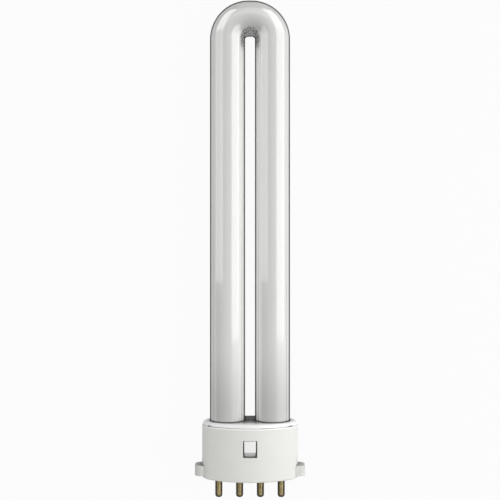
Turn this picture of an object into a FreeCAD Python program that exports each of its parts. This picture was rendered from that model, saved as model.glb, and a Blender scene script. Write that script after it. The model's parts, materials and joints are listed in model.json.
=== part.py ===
import FreeCAD, Part
import math
import os

# Four pin compact fluorescent lamp, lying on the back of its cap and on its bend.
# Millimetres. Each piece is drawn in the lamp's own axes: x across the two legs, y along the
# legs with 0 at the cap's pin face and the bend at the far end, z from back to front.
# The last function lays the finished lamp down, so that it rests on the plane z = 0.

# Glass tube
TUBE_DIAMETER = 11.8
LEG_GAP = 3.3                # free space between the two legs
BEND_INNER_RADIUS = 1.1      # inside corner of each quarter bend
LAMP_REACH = 160.0           # pin face to the top of the bend
PRESS_THICKNESS = 3.2        # the flat pressed end of a leg
PRESS_TAPER = 2.5            # length over which the round leg flattens
EXHAUST_DIAMETER = 2.4
EXHAUST_LENGTH = 2.4

# Cap shell
END_MARGIN = 2.65            # from the outside of a leg to the cap's narrow end
FACE_MARGIN = 3.1            # from the front of a leg to the middle of the cap's wide face
END_ROUND_STEP = 0.1         # the narrow ends' radius is this much larger than the tube's
SHELL_HEIGHT = 17.7
SHELL_WALL = 1.0
SHELL_FLOOR = 2.0
RIM_BEVEL = 0.35
FOOT_BEVEL = 0.5
LUG_REACH = 2.4              # how far a lug stands out of the cap's narrow end
LUG_RISE = 0.8               # from the pin face to a lug's lower side
LUG_HEIGHT = 3.5
LUG_DEPTH = 6.4
LUG_CORNER = 2.0
LUG_BEVEL = 0.3
WINDOW_WIDTH = 4.6
WINDOW_HEIGHT = 5.5
WINDOW_BELOW_RIM = 4.0
BOSS_DIAMETER = 4.8
BOSS_HEIGHT = 0.8

# Collar
CROWN_HEIGHT = 1.35
CROWN_BEVEL = 0.85           # the crown's rounded edge is drawn as three flats, this is the middle one
CROWN_BEVEL_EDGE = 0.3       # and each outer flat takes this much off the middle one's edges
JOINT_STEP = 0.2             # the collar's rim stands in from the shell's face
SPIGOT_DEPTH = 5.0
SPIGOT_CLEARANCE = 0.1
TUBE_HOLE_CLEARANCE = 0.12
TONGUE_SIDE_GAP = 0.35
TONGUE_THICKNESS = 1.1
TONGUE_POCKET = 1.0          # free space behind a tongue, so that it can spring
TONGUE_ROOT = 1.0            # solid left between the crown and that pocket
TONGUE_END_GAP = 0.2         # free space under a tongue's head in its window
TONGUE_HEAD_INSET = 0.15     # the head stands in from the cap's face
TONGUE_LEAD_IN = 1.7         # height of the slope at the head's lower end
TONGUE_LEAD_DEPTH = 0.9      # and how far it falls back
NOTCH_WIDTH = 1.2
NOTCH_HEIGHT = 0.35
NOTCH_DEPTH = 0.5
NOTCH_OFFSET = 2.7           # from the cap's narrow end

# Cement
CEMENT_GAP = 0.2             # between a leg and the bore it is cemented in
CEMENT_BELOW = 0.5           # cement hanging below the spigot

# Pins and lead wires
PIN_DIAMETER = 2.4
PIN_PITCH = 7.0
PIN_LENGTH = 6.8
PIN_TIP_LENGTH = 0.9
PIN_TIP_FLAT = 1.3           # diameter of the flat at the tip
PIN_SEAT_STEP = 0.25         # the stretch pressed in the cap is wider than the shank by this much all round
PIN_ABOVE_BOSS = 0.6
PIN_BORE_DIAMETER = 1.4
PIN_TIP_SOLID = 1.2
LEAD_DIAMETER = 0.5
LEAD_SPACING = 4.0           # between the two wires of one pressed end
LEAD_ROOM = 4.1              # between the pressed glass and the pins
LEAD_STRAIGHT = 0.9          # straight stretch below the glass
LEAD_ENTRY = 1.0             # straight stretch above a pin

# Derived sizes
TUBE_RADIUS = TUBE_DIAMETER / 2
LEG_X = TUBE_RADIUS + LEG_GAP / 2
BEND_RADIUS = TUBE_RADIUS + BEND_INNER_RADIUS
CAP_HALF_WIDTH = LEG_X + TUBE_RADIUS + END_MARGIN
CAP_HALF_DEPTH = TUBE_RADIUS + FACE_MARGIN
CAP_END_RADIUS = TUBE_RADIUS + END_ROUND_STEP
CAP_DEPTH = 2 * CAP_HALF_DEPTH
WINDOW_TOP = SHELL_HEIGHT - WINDOW_BELOW_RIM
CROWN_TOP = SHELL_HEIGHT + CROWN_HEIGHT
SPIGOT_BOTTOM = SHELL_HEIGHT - SPIGOT_DEPTH
SPIGOT_INSET = SHELL_WALL + SPIGOT_CLEARANCE
ROUND_END = SPIGOT_BOTTOM + 2 * CEMENT_BELOW
PRESS_TOP = ROUND_END - PRESS_TAPER
BEND_CENTRE_Y = LAMP_REACH - TUBE_RADIUS - BEND_RADIUS
BEND_CENTRE_X = LEG_X - BEND_RADIUS
BORE_RADIUS = TUBE_RADIUS + CEMENT_GAP
PIN_RADIUS = PIN_DIAMETER / 2
PIN_SEAT_RADIUS = PIN_RADIUS + PIN_SEAT_STEP
PIN_SEAT_TOP = SHELL_FLOOR + BOSS_HEIGHT
PIN_TOP = PIN_SEAT_TOP + PIN_ABOVE_BOSS
PIN_BORE_END = PIN_TIP_SOLID - PIN_LENGTH
PRESS_BOTTOM = PIN_TOP + LEAD_ROOM
LEAD_XS = [side * LEG_X + offset for side in (-1, 1) for offset in (-LEAD_SPACING / 2, LEAD_SPACING / 2)]
PIN_XS = [PIN_PITCH * (index - (len(LEAD_XS) - 1) / 2) for index in range(len(LEAD_XS))]

ORIGIN = FreeCAD.Vector(0, 0, 0)
ALONG_X = FreeCAD.Vector(1, 0, 0)
ALONG_Y = FreeCAD.Vector(0, 1, 0)
ALONG_Z = FreeCAD.Vector(0, 0, 1)
MITRED = 1                   # corner style of a swept pipe


def point(x, y, z=0.0):
    return FreeCAD.Vector(x, y, z)


def block(x_span, y_span, z_span):
    """A box between two values on each axis."""
    size = [high - low for low, high in (x_span, y_span, z_span)]
    corner = point(x_span[0], y_span[0], z_span[0])
    return Part.makeBox(size[0], size[1], size[2], corner)


def oval_prism(inset, bottom, top):
    """The cap's outline, moved in by inset, carried from one height to another.

    The outline is four tangent arcs: a small one round each narrow end and a large one across
    each wide face. The large radius is the one that meets both small arcs tangentially."""
    half_width = CAP_HALF_WIDTH - inset
    half_depth = CAP_HALF_DEPTH - inset
    end_radius = CAP_END_RADIUS - inset
    end_centre = half_width - end_radius
    face_radius = (end_centre**2 + half_depth**2 - end_radius**2) / (2 * (half_depth - end_radius))
    face_centre = half_depth - face_radius
    reach = math.hypot(end_centre, face_centre)
    meet_x = face_radius * end_centre / reach
    meet_z = face_centre - face_radius * face_centre / reach

    def arc(start, middle, end):
        ends = [point(x, bottom, z) for x, z in (start, middle, end)]
        return Part.Arc(ends[0], ends[1], ends[2]).toShape()

    edges = [
        arc((-meet_x, meet_z), (0, half_depth), (meet_x, meet_z)),
        arc((meet_x, meet_z), (half_width, 0), (meet_x, -meet_z)),
        arc((meet_x, -meet_z), (0, -half_depth), (-meet_x, -meet_z)),
        arc((-meet_x, -meet_z), (-half_width, 0), (-meet_x, meet_z)),
    ]
    return Part.Face(Part.Wire(edges)).extrude(ALONG_Y * (top - bottom))


def edges_at(shape, height):
    """The edges that lie whole in the plane y = height."""
    found = []
    for edge in shape.Edges:
        box = edge.BoundBox
        if abs(box.YMin - height) < 1e-4 and abs(box.YMax - height) < 1e-4:
            found.append(edge)
    return found


def quarter_bend(side):
    """One quarter of the U-bend: the leg's round section turned about the bend's centre."""
    ring = Part.Circle(point(side * LEG_X, BEND_CENTRE_Y), ALONG_Y, TUBE_RADIUS).toShape()
    section = Part.Face(Part.Wire([ring]))
    return section.revolve(point(side * BEND_CENTRE_X, BEND_CENTRE_Y), ALONG_Z * side, 90)


def pressed_leg(side):
    """A straight leg whose lower end is flattened front and back into a pressed seal."""
    height = BEND_CENTRE_Y - PRESS_BOTTOM
    leg = Part.makeCylinder(TUBE_RADIUS, height, point(side * LEG_X, PRESS_BOTTOM), ALONG_Y)
    half = PRESS_THICKNESS / 2
    edge_x = side * LEG_X - TUBE_DIAMETER
    beyond = TUBE_DIAMETER
    for front in (1, -1):
        outline = [
            point(edge_x, PRESS_BOTTOM, front * half),
            point(edge_x, PRESS_TOP, front * half),
            point(edge_x, ROUND_END, front * TUBE_RADIUS),
            point(edge_x, ROUND_END, front * beyond),
            point(edge_x, PRESS_BOTTOM, front * beyond),
        ]
        face = Part.Face(Part.makePolygon(outline + outline[:1]))
        leg = leg.cut(face.extrude(ALONG_X * 2 * TUBE_DIAMETER))
    return leg


def exhaust_tip():
    """The sealed stub that the tube was emptied through, between the left leg's two wires."""
    radius = EXHAUST_DIAMETER / 2
    end = PRESS_BOTTOM - EXHAUST_LENGTH + radius
    stub = Part.makeCylinder(radius, PRESS_BOTTOM - end, point(-LEG_X, end), ALONG_Y)
    return stub.fuse(Part.makeSphere(radius, point(-LEG_X, end)))


def discharge_tube():
    crown = Part.makeCylinder(
        TUBE_RADIUS, 2 * BEND_CENTRE_X, point(-BEND_CENTRE_X, BEND_CENTRE_Y + BEND_RADIUS), ALONG_X
    )
    pieces = [quarter_bend(-1), quarter_bend(1), pressed_leg(-1), pressed_leg(1), exhaust_tip()]
    return crown.fuse(pieces).removeSplitter()


def lug(side):
    """A tab on the cap's narrow end, rounded in plan, with its lower side just above the pin face."""
    inner = CAP_HALF_WIDTH - CAP_END_RADIUS
    outer = CAP_HALF_WIDTH + LUG_REACH
    spans = sorted([side * inner, side * outer])
    top = LUG_RISE + LUG_HEIGHT
    tab = block(spans, (LUG_RISE, top), (-LUG_DEPTH / 2, LUG_DEPTH / 2))
    corners = []
    for edge in tab.Edges:
        box = edge.BoundBox
        if box.YLength > LUG_HEIGHT / 2 and abs(abs(box.XMin) - outer) < 1e-4:
            corners.append(edge)
    tab = tab.makeFillet(LUG_CORNER, corners)
    rim = []
    for edge in edges_at(tab, top):
        if abs(edge.CenterOfMass.x) > inner + 1e-4:
            rim.append(edge)
    return tab.makeChamfer(LUG_BEVEL, rim)


def cap_shell():
    body = oval_prism(0, 0, SHELL_HEIGHT)
    body = body.makeChamfer(FOOT_BEVEL, edges_at(body, 0))
    body = body.makeChamfer(RIM_BEVEL, edges_at(body, SHELL_HEIGHT))
    body = body.fuse([lug(-1), lug(1)])
    body = body.cut(oval_prism(SHELL_WALL, SHELL_FLOOR, SHELL_HEIGHT + SHELL_WALL))
    bosses = [
        Part.makeCylinder(BOSS_DIAMETER / 2, PIN_SEAT_TOP - SHELL_FLOOR / 2, point(x, SHELL_FLOOR / 2), ALONG_Y)
        for x in PIN_XS
    ]
    body = body.fuse(bosses)
    holes = [Part.makeCylinder(PIN_SEAT_RADIUS, PIN_SEAT_TOP, point(x, 0), ALONG_Y) for x in PIN_XS]
    window = block(
        (-WINDOW_WIDTH / 2, WINDOW_WIDTH / 2),
        (WINDOW_TOP - WINDOW_HEIGHT, WINDOW_TOP),
        (-CAP_DEPTH, CAP_DEPTH),
    )
    return body.cut(holes + [window]).removeSplitter()


def tongue(front):
    """A spring tongue on one wide face, with the snap head that shows in the shell's window."""
    half_width = WINDOW_WIDTH / 2 - TONGUE_SIDE_GAP
    outer = CAP_HALF_DEPTH - SPIGOT_INSET
    head_outer = CAP_HALF_DEPTH - TONGUE_HEAD_INSET
    inner = outer - TONGUE_THICKNESS
    head_bottom = WINDOW_TOP - WINDOW_HEIGHT + TONGUE_END_GAP
    outline = [
        point(-half_width, SHELL_HEIGHT, front * inner),
        point(-half_width, SHELL_HEIGHT, front * CAP_DEPTH),
        point(-half_width, WINDOW_TOP, front * CAP_DEPTH),
        point(-half_width, WINDOW_TOP, front * head_outer),
        point(-half_width, head_bottom + TONGUE_LEAD_IN, front * head_outer),
        point(-half_width, head_bottom, front * (head_outer - TONGUE_LEAD_DEPTH)),
        point(-half_width, head_bottom, front * inner),
    ]
    blade = Part.Face(Part.makePolygon(outline + outline[:1])).extrude(ALONG_X * 2 * half_width)
    stem = oval_prism(SPIGOT_INSET, WINDOW_TOP, SHELL_HEIGHT)
    head = oval_prism(TONGUE_HEAD_INSET, head_bottom, WINDOW_TOP)
    return blade.common(stem.fuse(head))


def tongue_pocket(front):
    """The slot round a tongue that lets it spring inwards."""
    half_width = WINDOW_WIDTH / 2
    inner = CAP_HALF_DEPTH - SPIGOT_INSET - TONGUE_THICKNESS - TONGUE_POCKET
    depths = sorted([front * inner, front * CAP_HALF_DEPTH])
    return block((-half_width, half_width), (SPIGOT_BOTTOM, SHELL_HEIGHT - TONGUE_ROOT), depths)


def joint_notches():
    """Small prising notches under the collar's rim, two on each wide face."""
    cuts = []
    offset = CAP_HALF_WIDTH - NOTCH_OFFSET
    for x in (-offset, offset):
        x_span = (x - NOTCH_WIDTH / 2, x + NOTCH_WIDTH / 2)
        cuts.append(block(x_span, (SHELL_HEIGHT, SHELL_HEIGHT + NOTCH_HEIGHT), (-CAP_DEPTH, CAP_DEPTH)))
    rim = oval_prism(0, SHELL_HEIGHT, CROWN_TOP)
    core = oval_prism(JOINT_STEP + NOTCH_DEPTH, SHELL_HEIGHT, CROWN_TOP)
    band = rim.cut(core)
    return [band.common(cut) for cut in cuts]


def tube_collar():
    crown = oval_prism(JOINT_STEP, SHELL_HEIGHT, CROWN_TOP)
    crown = crown.makeChamfer(CROWN_BEVEL, edges_at(crown, CROWN_TOP))
    outer_edges = edges_at(crown, CROWN_TOP) + edges_at(crown, CROWN_TOP - CROWN_BEVEL)
    crown = crown.makeChamfer(CROWN_BEVEL_EDGE, outer_edges)
    spigot = oval_prism(SPIGOT_INSET, SPIGOT_BOTTOM, SHELL_HEIGHT)
    spigot = spigot.cut([tongue_pocket(1), tongue_pocket(-1)])
    body = crown.fuse([spigot, tongue(1), tongue(-1)])
    cuts = joint_notches()
    hole_radius = TUBE_RADIUS + TUBE_HOLE_CLEARANCE
    for x in (-LEG_X, LEG_X):
        cuts.append(Part.makeCylinder(BORE_RADIUS, SPIGOT_DEPTH, point(x, SPIGOT_BOTTOM), ALONG_Y))
        cuts.append(Part.makeCylinder(hole_radius, CROWN_HEIGHT, point(x, SHELL_HEIGHT), ALONG_Y))
    return body.cut(cuts).removeSplitter()


def basing_cement(side, tube):
    """A cup of cement between one leg and the collar's bore."""
    bottom = SPIGOT_BOTTOM - CEMENT_BELOW
    plug = Part.makeCylinder(BORE_RADIUS, SHELL_HEIGHT - bottom, point(side * LEG_X, bottom), ALONG_Y)
    return plug.cut(tube)


def contact_pin(x):
    """A hollow turned pin: blunt tip, shank, and the wider stretch that is pressed in the cap."""
    tip = PIN_TIP_LENGTH - PIN_LENGTH
    flat = PIN_TIP_FLAT / 2
    bore = PIN_BORE_DIAMETER / 2
    outline = [
        (flat, -PIN_LENGTH),
        (PIN_RADIUS, tip),
        (PIN_RADIUS, 0),
        (PIN_SEAT_RADIUS, 0),
        (PIN_SEAT_RADIUS, PIN_TOP),
        (bore, PIN_TOP),
        (bore, PIN_BORE_END),
        (0, PIN_BORE_END),
        (0, -PIN_LENGTH),
    ]
    corners = [point(x + radius, y) for radius, y in outline]
    face = Part.Face(Part.makePolygon(corners + corners[:1]))
    return face.revolve(point(x, 0), ALONG_Y, 360)


def lead_wire(start_x, pin_x):
    """A wire from a pressed glass end down into a pin, in three straight runs."""
    corners = [
        point(start_x, PRESS_BOTTOM),
        point(start_x, PRESS_BOTTOM - LEAD_STRAIGHT),
        point(pin_x, PIN_TOP + LEAD_ENTRY),
        point(pin_x, PIN_BORE_END),
    ]
    ring = Part.Wire([Part.Circle(corners[0], ALONG_Y, LEAD_DIAMETER / 2).toShape()])
    return Part.makePolygon(corners).makePipeShell([ring], True, False, MITRED)


def rest_tilt():
    """The angle in radians at which the cap's back and the bend both touch one plane.

    The cap touches at its rim, half a cap's depth from the axis. The bend touches one tube
    radius from the axis, at the far end."""
    run = LAMP_REACH - TUBE_RADIUS - (SHELL_HEIGHT - RIM_BEVEL)
    drop = math.atan2(CAP_HALF_DEPTH, run)
    return drop - math.asin(TUBE_RADIUS / math.hypot(run, CAP_HALF_DEPTH))


def laid_down(shape):
    """The shape turned and moved to where it lies, centred over the origin, on z = 0."""
    tilt = rest_tilt()
    middle = (LAMP_REACH - PIN_LENGTH) / 2 * math.cos(tilt)
    height = (LAMP_REACH - TUBE_RADIUS) * math.sin(tilt) + TUBE_RADIUS
    placed = shape.copy()
    placed.rotate(ORIGIN, ALONG_X, -math.degrees(tilt))
    placed.translate(point(0, -middle, height))
    return placed


def lamp():
    """Every piece of the lamp by name, in the lamp's own axes."""
    tube = discharge_tube()
    pieces = {
        "discharge_tube": tube,
        "cap_shell": cap_shell(),
        "tube_collar": tube_collar(),
        "basing_cement_left": basing_cement(-1, tube),
        "basing_cement_right": basing_cement(1, tube),
    }
    for number, (pin_x, lead_x) in enumerate(zip(PIN_XS, LEAD_XS), start=1):
        pieces[f"contact_pin_{number}"] = contact_pin(pin_x)
        pieces[f"lead_wire_{number}"] = lead_wire(lead_x, pin_x)
    return pieces


os.makedirs("parts", exist_ok=True)
for name, shape in lamp().items():
    solid = laid_down(shape)
    if len(solid.Solids) == 1:
        solid = solid.Solids[0]
    solid.exportStep(f"parts/{name}.step")
    box = solid.BoundBox
    print(f"{name}: {len(solid.Solids)} solid, valid {solid.isValid()}, {solid.Volume:.1f} mm3,"
          f" z {box.ZMin:.2f} to {box.ZMax:.2f}, y {box.YMin:.2f} to {box.YMax:.2f}")
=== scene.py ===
import json
import math

import bmesh
import bpy
import numpy as np
from bpy.props import FloatProperty, FloatVectorProperty, PointerProperty
from mathutils import Matrix


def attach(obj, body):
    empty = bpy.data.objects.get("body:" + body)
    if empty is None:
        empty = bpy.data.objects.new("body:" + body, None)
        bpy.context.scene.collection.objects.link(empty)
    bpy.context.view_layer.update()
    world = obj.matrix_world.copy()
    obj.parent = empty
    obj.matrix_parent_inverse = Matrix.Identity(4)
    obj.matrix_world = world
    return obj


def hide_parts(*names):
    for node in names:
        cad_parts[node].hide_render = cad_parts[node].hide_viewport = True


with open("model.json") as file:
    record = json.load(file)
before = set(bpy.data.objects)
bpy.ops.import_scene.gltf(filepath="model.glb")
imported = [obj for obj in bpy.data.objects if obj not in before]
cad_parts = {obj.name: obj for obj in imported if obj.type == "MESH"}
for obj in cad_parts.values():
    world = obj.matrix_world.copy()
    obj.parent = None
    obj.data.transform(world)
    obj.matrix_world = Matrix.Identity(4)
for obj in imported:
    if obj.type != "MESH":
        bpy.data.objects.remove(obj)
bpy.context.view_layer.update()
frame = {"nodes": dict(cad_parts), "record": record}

bl_info = {
    "name": "Four Pin Compact Fluorescent Lamp",
    "version": (1, 0, 0),
    "blender": (4, 5, 0),
    "location": "View3D > Sidebar > Lamp",
    "description": "Builds the glass tube, the cap, its collar and pins, and a plain studio",
    "category": "Object",
}

MM = 0.001


# Place of the lamp
#
# Pieces are worked out in the lamp's own axes: x across the two legs, y along the lamp with 0 at
# the cap's pin face and the bend at the far end, z from back to front. The record's mount on that
# face says where the lamp lies.

def mount(name):
    """The record's mount of that name."""
    return next(m for m in frame["record"]["mounts"] if m["name"] == name)


SEAT = mount("seating_face")
SEAT_POINT = np.array(SEAT["pos_m"])
ALONG = -np.array(SEAT["axis"])
ACROSS = np.array((1.0, 0.0, 0.0))
OUT = np.cross(ACROSS, ALONG)
TILT = math.atan2(OUT[1], OUT[2])
PIN_PLACES = [(f"contact_pin_{n}", mount(f"contact_pin_{n}")["pos_m"][0]) for n in (1, 2, 3, 4)]


def laid(points):
    """Points in the lamp's axes, moved to where the lamp lies."""
    return SEAT_POINT + np.asarray(points, float) @ np.stack((ACROSS, ALONG, OUT))


# Sizes, colours and studio values that a user would change

def length(name, description, millimetres):
    """A length property. Its default is given in millimetres."""
    return FloatProperty(name=name, description=description, default=millimetres * MM, min=0.0,
                         unit="LENGTH", precision=5)


def colour(name, description, default):
    """A colour property."""
    return FloatVectorProperty(name=name, description=description, default=default, size=3,
                               min=0.0, max=1.0, subtype="COLOR")


def plain(name, description, default, **limits):
    """A plain number property, from 0 up unless its limits say otherwise."""
    return FloatProperty(name=name, description=description, default=default, **{"min": 0.0, **limits})


class LampTubeSizes(bpy.types.PropertyGroup):
    """Sizes of the glass tube."""
    radius: length("Radius", "Outside radius of the glass", 5.9)
    leg_x: length("Leg offset", "From the middle to the axis of a leg", 7.55)
    bend_radius: length("Bend radius", "Radius of the centre line of each quarter bend", 7.0)
    reach: length("Reach", "From the pin face to the top of the bend", 160.0)
    press_bottom: length("Press bottom", "Height at which the pressed ends stop", 7.5)
    press_top: length("Press top", "Height at which the pressed ends are flat", 11.2)
    round_end: length("Round end", "Height from which a leg is round", 13.7)
    press_thickness: length("Press thickness", "Thickness of the pressed ends", 3.2)
    exhaust_radius: length("Exhaust radius", "Radius of the sealed exhaust tip", 1.2)
    exhaust_length: length("Exhaust length", "Length of the sealed exhaust tip", 2.4)
    fold_ripple: length("Fold ripple", "Height of the wrinkles inside the bend", 0.06)


class LampCapSizes(bpy.types.PropertyGroup):
    """Sizes of the cap's shell and collar. Heights are over the pin face."""
    half_width: length("Half width", "Half the cap's width", 16.1)
    half_depth: length("Half depth", "Half the cap's depth", 9.0)
    end_radius: length("End radius", "Radius of the cap's narrow ends", 6.0)
    height: length("Shell height", "Height of the outer moulding", 17.7)
    wall: length("Wall", "Wall thickness of the shell", 1.0)
    floor: length("Floor", "Thickness of the shell's floor", 2.0)
    foot_round: length("Foot rounding", "Rounding of the pin face's edge", 0.6)
    rim_round: length("Rim rounding", "Rounding of the shell's rim", 0.35)
    boss_radius: length("Boss radius", "Radius of the boss round each pin, inside", 2.4)
    boss_top: length("Boss top", "Height of the bosses", 2.8)
    window_half: length("Window half width", "Half the width of a window", 2.3)
    window_low: length("Window bottom", "Height of a window's lower edge", 8.2)
    window_high: length("Window top", "Height of a window's upper edge", 13.7)
    window_round: length("Window rounding", "Rounding of a window's edge", 0.16)
    lug_reach: length("Lug reach", "How far a lug stands out of the cap's end", 2.4)
    lug_low: length("Lug bottom", "Height of a lug's lower side", 0.8)
    lug_high: length("Lug top", "Height of a lug's upper side", 4.3)
    lug_half_depth: length("Lug half depth", "Half the depth of a lug", 3.2)
    lug_corner: length("Lug corner", "Radius of a lug's corners", 2.0)
    lug_edge: length("Lug edge", "Rounding of a lug's edges", 0.3)
    crown_top: length("Crown top", "Height of the collar's top", 19.05)
    crown_round: length("Crown rounding", "Rounding of the collar's top edge", 1.2)
    joint_step: length("Joint step", "How far the collar stands in from the shell", 0.2)
    spigot_low: length("Spigot bottom", "Height of the collar's lower end in the shell", 12.7)
    spigot_inset: length("Spigot inset", "How far the collar's lower part stands in", 1.1)
    tube_hole: length("Tube hole", "Radius of the hole that a leg stands in", 6.02)
    tube_bore: length("Tube bore", "Radius of the cemented bore", 6.1)
    notch_x: length("Notch offset", "From the middle to a prising notch", 13.4)
    notch_half: length("Notch half width", "Half the width of a notch", 0.6)
    notch_high: length("Notch height", "Height of a notch", 0.35)
    notch_deep: length("Notch depth", "Depth of a notch", 0.5)
    tongue_half: length("Tongue half width", "Half the width of a snap tongue's head", 1.95)
    tongue_low: length("Tongue bottom", "Height of a tongue head's lower edge", 8.4)
    tongue_inset: length("Tongue inset", "How far a tongue's head stands in", 0.15)
    tongue_lead: length("Tongue lead-in", "Height of the slope at a tongue's lower end", 1.7)
    tongue_fall: length("Tongue fall", "How far that slope falls back", 0.9)
    groove: length("Joint groove", "Bevel along the collar's lower edge", 0.12)


class LampPinSizes(bpy.types.PropertyGroup):
    """Sizes of a contact pin."""
    radius: length("Radius", "Radius of the shank", 1.2)
    reach: length("Reach", "How far a pin stands out", 6.8)
    tip: length("Tip", "Length of the rounded tip", 0.9)
    tip_flat: length("Tip flat", "Radius of the flat at the tip", 0.45)
    seat_radius: length("Seat radius", "Radius of the stretch in the cap", 1.45)
    seat_top: length("Seat top", "Height of a pin's inner end", 3.4)


class LampColours(bpy.types.PropertyGroup):
    """Colours of the lamp's materials."""
    coating: colour("Coating", "White coating behind the glass", (0.70, 0.70, 0.685))
    coating_foot: colour("Coating at the feet", "Coating near the electrodes", (0.54, 0.54, 0.53))
    # Painted shade: dark colour of the lines painted along the glass's outline and of the ring at its feet
    outline_shade: colour("Glass edge", "Clear glass seen along its wall", (0.035, 0.036, 0.036))
    # Painted shade: dark colour painted in patches inside the bend
    bend_shade_colour: colour("Glass fold", "Thickened glass inside the bend", (0.07, 0.072, 0.07))
    cap: colour("Cap", "Outer moulding", (0.78, 0.78, 0.745))
    collar: colour("Collar", "Inner moulding", (0.92, 0.92, 0.91))
    # Painted shade: dark colour mixed into the mouldings' corners and between the legs
    shade_colour: colour("Crevice", "Grime in the corners of the mouldings", (0.08, 0.08, 0.076))
    # Painted shade: grey painted on the tongues' slopes and on the lugs
    painted_grey: colour("Scuffed plastic", "Grey marks on the snap tongues and the lugs", (0.42, 0.42, 0.415))
    # Painted highlight: paler colour painted along the rims
    rim_highlight: colour("Rubbed rim", "Paler plastic along the rims", (0.95, 0.95, 0.945))
    brass: colour("Brass", "Clean metal of the pins", (0.95, 0.77, 0.40))
    tarnish: colour("Tarnish", "Dulled metal of the pins", (0.49, 0.39, 0.20))
    pin_tip: colour("Pin tip", "Grey metal at the tip of a pin", (0.30, 0.30, 0.31))
    # Painted shade: dark colour painted at a pin's root and along its outline
    pin_outline_shade: colour("Pin edge", "Dark film where a pin turns away", (0.07, 0.065, 0.055))
    cement: colour("Cement", "Basing cement", (0.66, 0.63, 0.57))
    lead: colour("Lead wire", "Drawn wire", (0.62, 0.60, 0.57))


class LampStudio(bpy.types.PropertyGroup):
    """Lights, floor and camera."""
    key_radiance: plain("Key light", "Brightness of the large light on the right", 2.75)
    fill_radiance: plain("Fill light", "Brightness of the large light on the left", 1.3)
    key_card: plain("Right card", "Brightness of the right light's reflection", 2.3)
    fill_card: plain("Left card", "Brightness of the left light's reflection", 1.5)
    bend_card: plain("Bend cards", "Brightness of the reflections past the bend", 3.4)
    top_card: plain("Top card", "Brightness of the reflection on top of the bend", 1.1)
    foot_card: plain("Foot card", "Brightness of the right reflection at the feet", 0.8)
    ambient: plain("Ambient", "Brightness of the room", 0.35)
    ceiling: plain("Ceiling", "Brightness of the room's upper part in reflections", 0.2)
    floor_lift: plain("Floor lift", "Share of plain white in the floor as it is seen", 0.95, max=1.0)
    light_distance: length("Light distance", "From the lamp's axis to each light", 300.0)
    camera_distance: length("Camera distance", "From the camera to the lamp's middle plane", 300.0)
    camera_height: length("Camera aim", "Point along the lamp that the camera looks at", 76.24)
    camera_lens: plain("Lens", "Focal length in millimetres on a 36 mm sensor", 64.15, min=1.0)


GROUPS = {
    "lamp_tube": LampTubeSizes,
    "lamp_cap": LampCapSizes,
    "lamp_pin": LampPinSizes,
    "lamp_colours": LampColours,
    "lamp_studio": LampStudio,
}


# Surfaces

def join(*columns):
    """Arrays and single numbers side by side, as the columns of one array."""
    return np.stack(np.broadcast_arrays(*columns), -1)


def near(values, value):
    """The index of the value that is nearest."""
    return int(np.argmin(np.abs(values - value)))


def spread(start, end, step):
    """Even values from start to end, at most step apart."""
    return np.linspace(start, end, max(2, int(math.ceil(abs(end - start) / step)) + 1))


def full_turn(count):
    """That many even angles all the way round."""
    return np.linspace(0, 2 * math.pi, count + 1)[:-1]


def quarter(start, end, steps, hollow=False):
    """A quarter of an ellipse between two (across, along) pairs, leaving start along the second
    axis and reaching end along the first: start + (1 - cos a, sin a) times the difference. A hollow
    one has the two the other way round."""
    angle = np.linspace(0, math.pi / 2, steps + 1)
    across, along = 1 - np.cos(angle), np.sin(angle)
    if hollow:
        across, along = along, across
    start, end = np.asarray(start, float), np.asarray(end, float)
    return start + join(across, along) * (end - start)


def turned(profile, centre_x, angles):
    """A profile of (radius, height) pairs turned about a vertical line at centre_x:
    (centre + radius sin a, height, radius cos a)."""
    radius, height = np.asarray(profile, float).T[..., None]
    return join(centre_x + radius * np.sin(angles), height, radius * np.cos(angles))


def rounded_rectangle(half_a, half_b, corner):
    """A closed loop of (a, b) pairs: four quarter circles with straight, evenly divided sides."""
    corner_steps, side_steps = 6, 8
    arcs = []
    for quarter_turn, (a, b) in enumerate(((1, 1), (-1, 1), (-1, -1), (1, -1))):
        angle = (quarter_turn + np.linspace(0, 1, corner_steps + 1)) * math.pi / 2
        arcs.append(join(a * (half_a - corner) + corner * np.cos(angle),
                         b * (half_b - corner) + corner * np.sin(angle)))
    loop = []
    for arc, following in zip(arcs, arcs[1:] + arcs[:1]):
        side = np.linspace(0, 1, side_steps + 1)[1:-1, None] * (following[0] - arc[-1])
        loop += [arc, arc[-1] + side]
    return np.concatenate(loop)


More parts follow.
